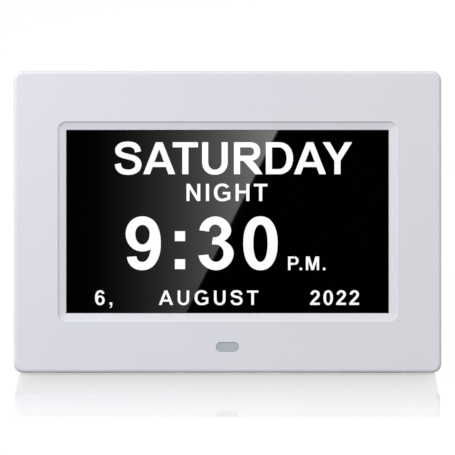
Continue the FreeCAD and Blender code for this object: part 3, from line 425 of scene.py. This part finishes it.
def flat_mesh(name, outlines, depth, inset=0.0):
    """A closed sheet of the joined outlines, in the plane Y = 0, with its back at Y = depth."""
    points, faces = [], []
    for outline in outlines:
        pairs = zip(outline, outline[1:] + outline[:1])
        area = sum(a[0] * b[1] - b[0] * a[1] for a, b in pairs)
        ordered = outline if area > 0 else outline[::-1]
        faces.append(list(range(len(points), len(points) + len(ordered))))
        points.extend(Vector(point) for point in ordered)
    flat, _, triangles, _, _, sources = geometry.delaunay_2d_cdt(
        points, [], faces, INSIDE_ONLY, SAME_POINT
    )
    work = bmesh.new()
    corners = [work.verts.new((point.x, 0, point.y)) for point in flat]
    for triangle, source in zip(triangles, sources):
        if source:
            work.faces.new([corners[i] for i in triangle])
    loose = [vert for vert in work.verts if not vert.link_faces]
    bmesh.ops.delete(work, geom=loose, context="VERTS")
    bmesh.ops.recalc_face_normals(work, faces=work.faces)
    narrow(work, inset)
    made = bmesh.ops.extrude_face_region(work, geom=list(work.faces))
    moved = [item for item in made["geom"] if isinstance(item, bmesh.types.BMVert)]
    bmesh.ops.translate(work, vec=(0, depth, 0), verts=moved)
    bmesh.ops.recalc_face_normals(work, faces=work.faces)
    # The extrusion leaves its faces in another order each run, so they are put in a fixed one.
    work.verts.index_update()
    in_order = sorted(work.faces, key=lambda face: sorted(vert.index for vert in face.verts))
    for i, face in enumerate(in_order):
        face.index = i
    work.faces.sort()
    mesh = bpy.data.meshes.new(name)
    work.to_mesh(mesh)
    work.free()
    return mesh


def scaled(outlines, across, up, x, z):
    """The outlines, stretched by across and up, and then moved by x and z."""
    return [[(x + px * across, z + pz * up) for px, pz in outline] for outline in outlines]


def in_case(name, mesh, material, depth):
    """An object for a mesh drawn in the frame of the case, at a depth behind the front face."""
    mesh.materials.append(material)
    piece = new_object(name, mesh)
    piece.matrix_world = CASE_FRAME @ Matrix.Translation((0, depth, 0))
    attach(piece, "case")
    return piece


# --------------------------------------------------------------------------------------- camera

IMAGE_SIZE = 455
# Edges of the case in the photograph, in its pixels.
CASE_LEFT_PX, CASE_RIGHT_PX = 13.7, 441.3
CASE_TOP_PX = 70.9
METRES_PER_PX = CASE_WIDTH / (CASE_RIGHT_PX - CASE_LEFT_PX)
# In millimetres, as Blender takes them.
LENS = 180
SENSOR = 36
# The case is widest where its front rounding ends.
WIDEST_DEPTH = 0.0018
CAMERA_DISTANCE = METRES_PER_PX * IMAGE_SIZE * LENS / SENSOR - WIDEST_DEPTH
PICTURE_MIDDLE = CASE_HEIGHT + (CASE_TOP_PX - IMAGE_SIZE / 2) * METRES_PER_PX


def from_pixel(across, down, depth):
    """X and Z in the frame of the case of what shows at a pixel, at a depth behind the front."""
    scale = METRES_PER_PX * (CAMERA_DISTANCE + depth) / (CAMERA_DISTANCE + WIDEST_DEPTH)
    x = (across - IMAGE_SIZE / 2) * scale
    z = PICTURE_MIDDLE - (down - IMAGE_SIZE / 2) * scale
    return x, z


def make_camera():
    """Square on to the front, level with the middle of the picture."""
    camera = new_object("camera", bpy.data.cameras.new("camera"))
    camera.data.lens = LENS
    camera.data.sensor_width = SENSOR
    place = Matrix.Translation((0, -CAMERA_DISTANCE, PICTURE_MIDDLE))
    camera.matrix_world = CASE_FRAME @ place @ Matrix.Rotation(math.pi / 2, 4, "X")
    bpy.context.scene.camera = camera


# ------------------------------------------------------------------------------ words on screen

# Each row: its words, its left and right edges, and the top and bottom of its capitals, in
# pixels of the photograph.
SCREEN_ROWS = {
    "day": ("SATURDAY", 114.5, 352.5, 142.0, 174.4),
    "part_of_day": ("NIGHT", 186.3, 267.6, 183.6, 201.2),
    "hour": ("9", 125.5, 160.95, 217.0, 269.5),
    "colon": (":", 174.7, 185.3, 217.0, 269.5),
    "minutes_tens": ("3", 198.3, 233.8, 217.0, 269.5),
    "minutes_ones": ("0", 243.1, 277.8, 217.0, 269.5),
    "noon": ("P.M.", 287.9, 325.6, 256.3, 270.3),
    "date": ("6,", 94.9, 112.4, 290.3, 305.1),
    "month": ("AUGUST", 158.5, 258.5, 290.3, 305.1),
    "year": ("2022", 309.9, 359.2, 290.3, 305.1),
}
# How thick the letters are, and how far in front of the glass.
LETTER_DEPTH = 0.00003
LETTER_GAP = 0.00002
# Lit strokes look wider than they are, so they are made this much thinner on each side.
LETTER_INSET = 0.0001


def spread_word(word, room):
    """Outlines of a word and its width, with its letters spaced to fill the room."""
    starts, cursor = [], 0.0
    for i, letter in enumerate(word):
        starts.append(cursor)
        cursor += LETTERS[letter][0] + CLOSER.get(word[i : i + 2], 0)
    first = min(x for outline in LETTERS[word[0]][1] for x, _ in outline)
    last = max(x for outline in LETTERS[word[-1]][1] for x, _ in outline) + starts[-1]
    gap = (room - (last - first)) / (len(word) - 1) if len(word) > 1 else 0
    outlines = []
    for i, letter in enumerate(word):
        outlines += scaled(LETTERS[letter][1], 1, 1, starts[i] + gap * i - first, 0)
    return outlines, last - first + gap * (len(word) - 1)


def make_words():
    """Each row of the screen, as a thin sheet of letters just in front of the glass."""
    depth = case_box("lcd_glass")[0].y - LETTER_GAP - LETTER_DEPTH
    for name, (word, left, right, top, bottom) in SCREEN_ROWS.items():
        x_left, z_bottom = from_pixel(left, bottom, depth)
        x_right, z_top = from_pixel(right, top, depth)
        cap = z_top - z_bottom
        outlines, width = spread_word(word, (x_right - x_left) / cap)
        across = (x_right - x_left) / width
        outlines = scaled(outlines, across, cap, x_left, z_bottom)
        mesh = flat_mesh(f"words_{name}", outlines, LETTER_DEPTH, LETTER_INSET)
        piece = in_case(f"words_{name}", mesh, LIT_WHITE, depth)


# ------------------------------------------------------------------------- signs by the buttons

# The size of one unit of a sign, how far its middle is above its button's, and its thickness.
SIGN_SIZE = 0.0042
SIGN_RISE = 0.0075
SIGN_DEPTH = 0.00002
SIGNS = {
    "power": [
        ring(-0.45, -0.5, 0.45, 0.4, 120, 420, 0.13, 0.13, 2),
        bar(-0.065, 0.0, 0.065, 0.55),
    ],
    "menu": [bar(-0.45, height - 0.07, 0.45, height + 0.07) for height in (-0.33, 0.0, 0.33)],
    "left": [[(-0.4, 0), (0.3, -0.42), (0.3, 0.42)]],
    "right": [[(0.4, 0), (-0.3, 0.42), (-0.3, -0.42)]],
    "up": [[(0, 0.4), (-0.42, -0.3), (0.42, -0.3)]],
    "down": [[(0, -0.4), (0.42, 0.3), (-0.42, 0.3)]],
    "exit": [
        [(-0.5, 0.1), (-0.1, -0.22), (-0.1, 0.42)],
        bar(-0.15, 0.03, 0.3, 0.17),
        ring(0.05, -0.36, 0.5, 0.17, -90, 90, 0.14, 0.14, 2),
        bar(-0.15, -0.36, 0.28, -0.22),
    ],
}


def make_signs():
    """A small printed sign above each button, read from behind the clock."""
    back = case_box("back_cover")[1].y
    for name, outlines in SIGNS.items():
        low, high = case_box(f"button_{name}")
        middle = (low + high) / 2
        outlines = scaled(outlines, -SIGN_SIZE, SIGN_SIZE, middle.x, middle.z + SIGN_RISE)
        mesh = flat_mesh(f"sign_{name}", outlines, SIGN_DEPTH)
        piece = in_case(f"sign_{name}", mesh, PRINT_GREY, back)


# ------------------------------------------------------------------------------ floor and light

FLOOR_SIZE = 12.0
# The floor for all rays but the camera's, which sets how much light it throws back up.
FLOOR_GREY = (0.35, 0.35, 0.35, 1)
# The floor for the camera: a steady glow, and a dark surface that shows a little of the shadows.
FLOOR_GLOW = 0.92
FLOOR_SHADE = (0.12, 0.12, 0.12, 1)
# How much of a mirror the floor is for the camera, at places along Y from in front of the clock
# to behind it. The values were fitted to the mirror image in the photograph. The rise from
# -0.0137 to -0.0105 is painted shade: it shows more of the dark mirrored underside there, for a
# thin dark band just in front of the bottom edge, where a contact shadow falls.
MIRROR_AND_SHADE_SHARES = (
    (-0.088, 0.0), (-0.083, 0.28), (-0.0745, 0.3), (-0.0617, 0.41), (-0.0517, 0.5),
    (-0.0483, 0.37), (-0.0449, 0.28), (-0.0415, 0.24), (-0.031, 0.26), (-0.0172, 0.235),
    (-0.0154, 0.25), (-0.0137, 0.43), (-0.0119, 0.33), (-0.0105, 0.4), (-0.009, 0.2),
    (0.02, 0.1),
)


def make_floor():
    """A plain white floor with a soft mirror image that fades away in front of the clock, and
    painted contact shade in a thin band just in front of its bottom edge.

    Only the camera sees its glow and its mirror, so that they add no light to the scene.
    """
    bpy.ops.mesh.primitive_plane_add(size=FLOOR_SIZE, location=(0, 0, 0))
    floor = bpy.context.object
    floor.name = "floor"
    material, tree, shader = new_material("floor_white")
    set_inputs(shader, {"Base Color": FLOOR_GREY, "Roughness": 0.6, "Specular IOR Level": 0.2})
    path = add_node(tree, "ShaderNodeLightPath")
    glow = add_node(tree, "ShaderNodeEmission", Color=WHITE, Strength=FLOOR_GLOW)
    shade = add_node(tree, "ShaderNodeBsdfDiffuse", Color=FLOOR_SHADE)
    both = add_node(tree, "ShaderNodeAddShader")
    mirror = add_node(tree, "ShaderNodeBsdfGlossy", Color=WHITE, Roughness=0.0)
    place = add_node(tree, "ShaderNodeTexCoord")
    axes = add_node(tree, "ShaderNodeSeparateXYZ")
    first, last = MIRROR_AND_SHADE_SHARES[0][0], MIRROR_AND_SHADE_SHARES[-1][0]
    span = add_node(tree, "ShaderNodeMapRange")
    set_inputs(span, {"From Min": first, "From Max": last})
    # This ramp carries the mirror shares, with the painted contact shade just in front of the
    # bottom edge.
    mirror_and_shade_ramp = add_node(tree, "ShaderNodeValToRGB")
    stops = mirror_and_shade_ramp.color_ramp.elements
    while len(stops) < len(MIRROR_AND_SHADE_SHARES):
        stops.new(0.5)
    for stop, (along, share) in zip(stops, MIRROR_AND_SHADE_SHARES):
        stop.position = (along - first) / (last - first)
        stop.color = (share, share, share, 1)
    seen = add_node(tree, "ShaderNodeMixShader")
    choice = add_node(tree, "ShaderNodeMixShader")
    connect(
        tree,
        (place, "Object", axes, "Vector"),
        (axes, "Y", span, "Value"),
        (span, "Result", mirror_and_shade_ramp, "Fac"),
        (mirror_and_shade_ramp, "Color", seen, "Fac"),
        (shade, "BSDF", both, 0),
        (glow, "Emission", both, 1),
        (both, "Shader", seen, 1),
        (mirror, "BSDF", seen, 2),
        (path, "Is Camera Ray", choice, "Fac"),
        (shader, "BSDF", choice, 1),
        (seen, "Shader", choice, 2),
        (choice, "Shader", tree.nodes["Material Output"], "Surface"),
    )
    floor.data.materials.append(material)


WORLD_LIGHT = 0.32


def make_world():
    """Even light from all around. The camera and mirror images see plain white there instead."""
    world = bpy.data.worlds.new("studio")
    bpy.context.scene.world = world
    world.use_nodes = True
    tree = world.node_tree
    fill = tree.nodes["Background"]
    set_inputs(fill, {"Color": WHITE, "Strength": WORLD_LIGHT})
    white = add_node(tree, "ShaderNodeBackground", Color=WHITE, Strength=1.0)
    path = add_node(tree, "ShaderNodeLightPath")
    seen = add_node(tree, "ShaderNodeMath", operation="MAXIMUM")
    choice = add_node(tree, "ShaderNodeMixShader")
    connect(
        tree,
        (path, "Is Camera Ray", seen, 0),
        (path, "Is Glossy Ray", seen, 1),
        (seen, "Value", choice, "Fac"),
        (fill, "Background", choice, 1),
        (white, "Background", choice, 2),
        (choice, "Shader", tree.nodes["World Output"], "Surface"),
    )


LIGHT_TARGET = (0, 0, 0.07)
# Each lamp: its name, its place, its width and height, and its power in watts.
LAMPS = (
    ("key", (-0.75, -0.8, 1.05), (1.2, 1.2), 14.2),
    ("side_key", (-1.25, -0.55, 0.85), (1.0, 1.0), 6.9),
    ("top_fill", (-0.1, -0.35, 1.35), (1.4, 0.6), 1.5),
    ("right_fill", (1.3, -0.6, 0.5), (0.6, 0.8), 3.7),
    ("rear_light", (1.0, 1.5, 0.45), (0.8, 0.6), 15.0),
)
# A faint cool tint on the left of the front, which the display doesn't mirror.
TINT = ("left_tint", (-0.3, -0.25, 0.25), (0.2, 0.2), 0.085)
TINT_COLOUR = (0.25, 0.05, 1.0)


def area_light(name, place, size, power, colour=(1, 1, 1)):
    lamp = bpy.data.lights.new(name, "AREA")
    lamp.shape = "RECTANGLE"
    lamp.size, lamp.size_y = size
    lamp.energy = power
    lamp.color = colour
    holder = new_object(name, lamp)
    holder.location = place
    aim = Vector(LIGHT_TARGET) - Vector(place)
    holder.rotation_euler = aim.to_track_quat("-Z", "Y").to_euler()
    return holder


def make_lights():
    for lamp in LAMPS:
        area_light(*lamp)
    area_light(*TINT, TINT_COLOUR).visible_glossy = False


# The card stands this far behind the camera, and reaches this far to each side, up and down.
CARD_BEHIND = 0.02
CARD_SIDE, CARD_RISE = 0.19, 0.12
# Its light panel as it shows in the display, in pixels of the photograph: where the light starts,
# and the two ends of its slanted edge.
PANEL_START, PANEL_HIGH, PANEL_LOW = (45, 221), (277.5, 130.4), (186, 312.6)
# The light grows with this power of the way across, and has this strength at the upper end.
PANEL_POWER, PANEL_STRENGTH = 3.25, 4.75


def panel_light(start, high, low):
    """Light on a dark card, from the start at the left to the slanted edge from high to low."""
    material, tree, _ = new_material("light_panel")
    tree.nodes.clear()
    output = add_node(tree, "ShaderNodeOutputMaterial")
    glow = add_node(tree, "ShaderNodeEmission")
    place = add_node(tree, "ShaderNodeTexCoord")
    axes = add_node(tree, "ShaderNodeSeparateXYZ")
    ramp = add_node(tree, "ShaderNodeMapRange")
    set_inputs(ramp, {"From Min": start[0], "From Max": high[0]})
    curve = add_node(tree, "ShaderNodeMath", operation="POWER")
    set_inputs(curve, {1: PANEL_POWER})
    # The slanted edge: X less than a line through its two ends.
    slope = (high[0] - low[0]) / (high[1] - low[1])
    line = add_node(tree, "ShaderNodeMath", operation="MULTIPLY_ADD")
    set_inputs(line, {1: slope, 2: low[0] - slope * low[1]})
    inside = add_node(tree, "ShaderNodeMath", operation="LESS_THAN")
    shown = add_node(tree, "ShaderNodeMath", operation="MULTIPLY")
    level = add_node(tree, "ShaderNodeMath", operation="MULTIPLY")
    set_inputs(level, {1: PANEL_STRENGTH})
    connect(
        tree,
        (place, "Object", axes, "Vector"),
        (axes, "X", ramp, "Value"),
        (ramp, "Result", curve, 0),
        (axes, "Z", line, 0),
        (axes, "X", inside, 0),
        (line, "Value", inside, 1),
        (curve, "Value", shown, 0),
        (inside, "Value", shown, 1),
        (shown, "Value", level, 0),
        (level, "Value", glow, "Strength"),
        (glow, "Emission", output, "Surface"),
    )
    return material


def make_reflection_card():
    """What the display mirrors: a dark card behind the camera, with one slanted light panel.

    Only glossy rays see it. Its light goes from dark at its left to bright at its slanted edge.
    """
    distance = CAMERA_DISTANCE + CARD_BEHIND
    depth = case_box("lcd_glass")[0].y
    travel = (CAMERA_DISTANCE + depth + distance + depth) / (CAMERA_DISTANCE + depth)

    def on_card(pixel):
        x, z = from_pixel(*pixel, depth)
        return x * travel, PICTURE_MIDDLE + (z - PICTURE_MIDDLE) * travel

    work = bmesh.new()
    for x, z in ((-1, -1), (1, -1), (1, 1), (-1, 1)):
        work.verts.new((x * CARD_SIDE, -distance, z * CARD_RISE + PICTURE_MIDDLE))
    work.faces.new(work.verts)
    mesh = bpy.data.meshes.new("reflection_card")
    work.to_mesh(mesh)
    work.free()
    mesh.materials.append(panel_light(*map(on_card, (PANEL_START, PANEL_HIGH, PANEL_LOW))))
    card = new_object("reflection_card", mesh)
    card.matrix_world = CASE_FRAME
    for sight in ("visible_camera", "visible_diffuse", "visible_transmission", "visible_shadow"):
        setattr(card, sight, False)


# --------------------------------------------------------------------------------------- making

bpy.context.scene.view_settings.view_transform = "Standard"
finish_nodes()
make_camera()
make_words()
make_signs()
make_floor()
make_world()
make_lights()
make_reflection_card()
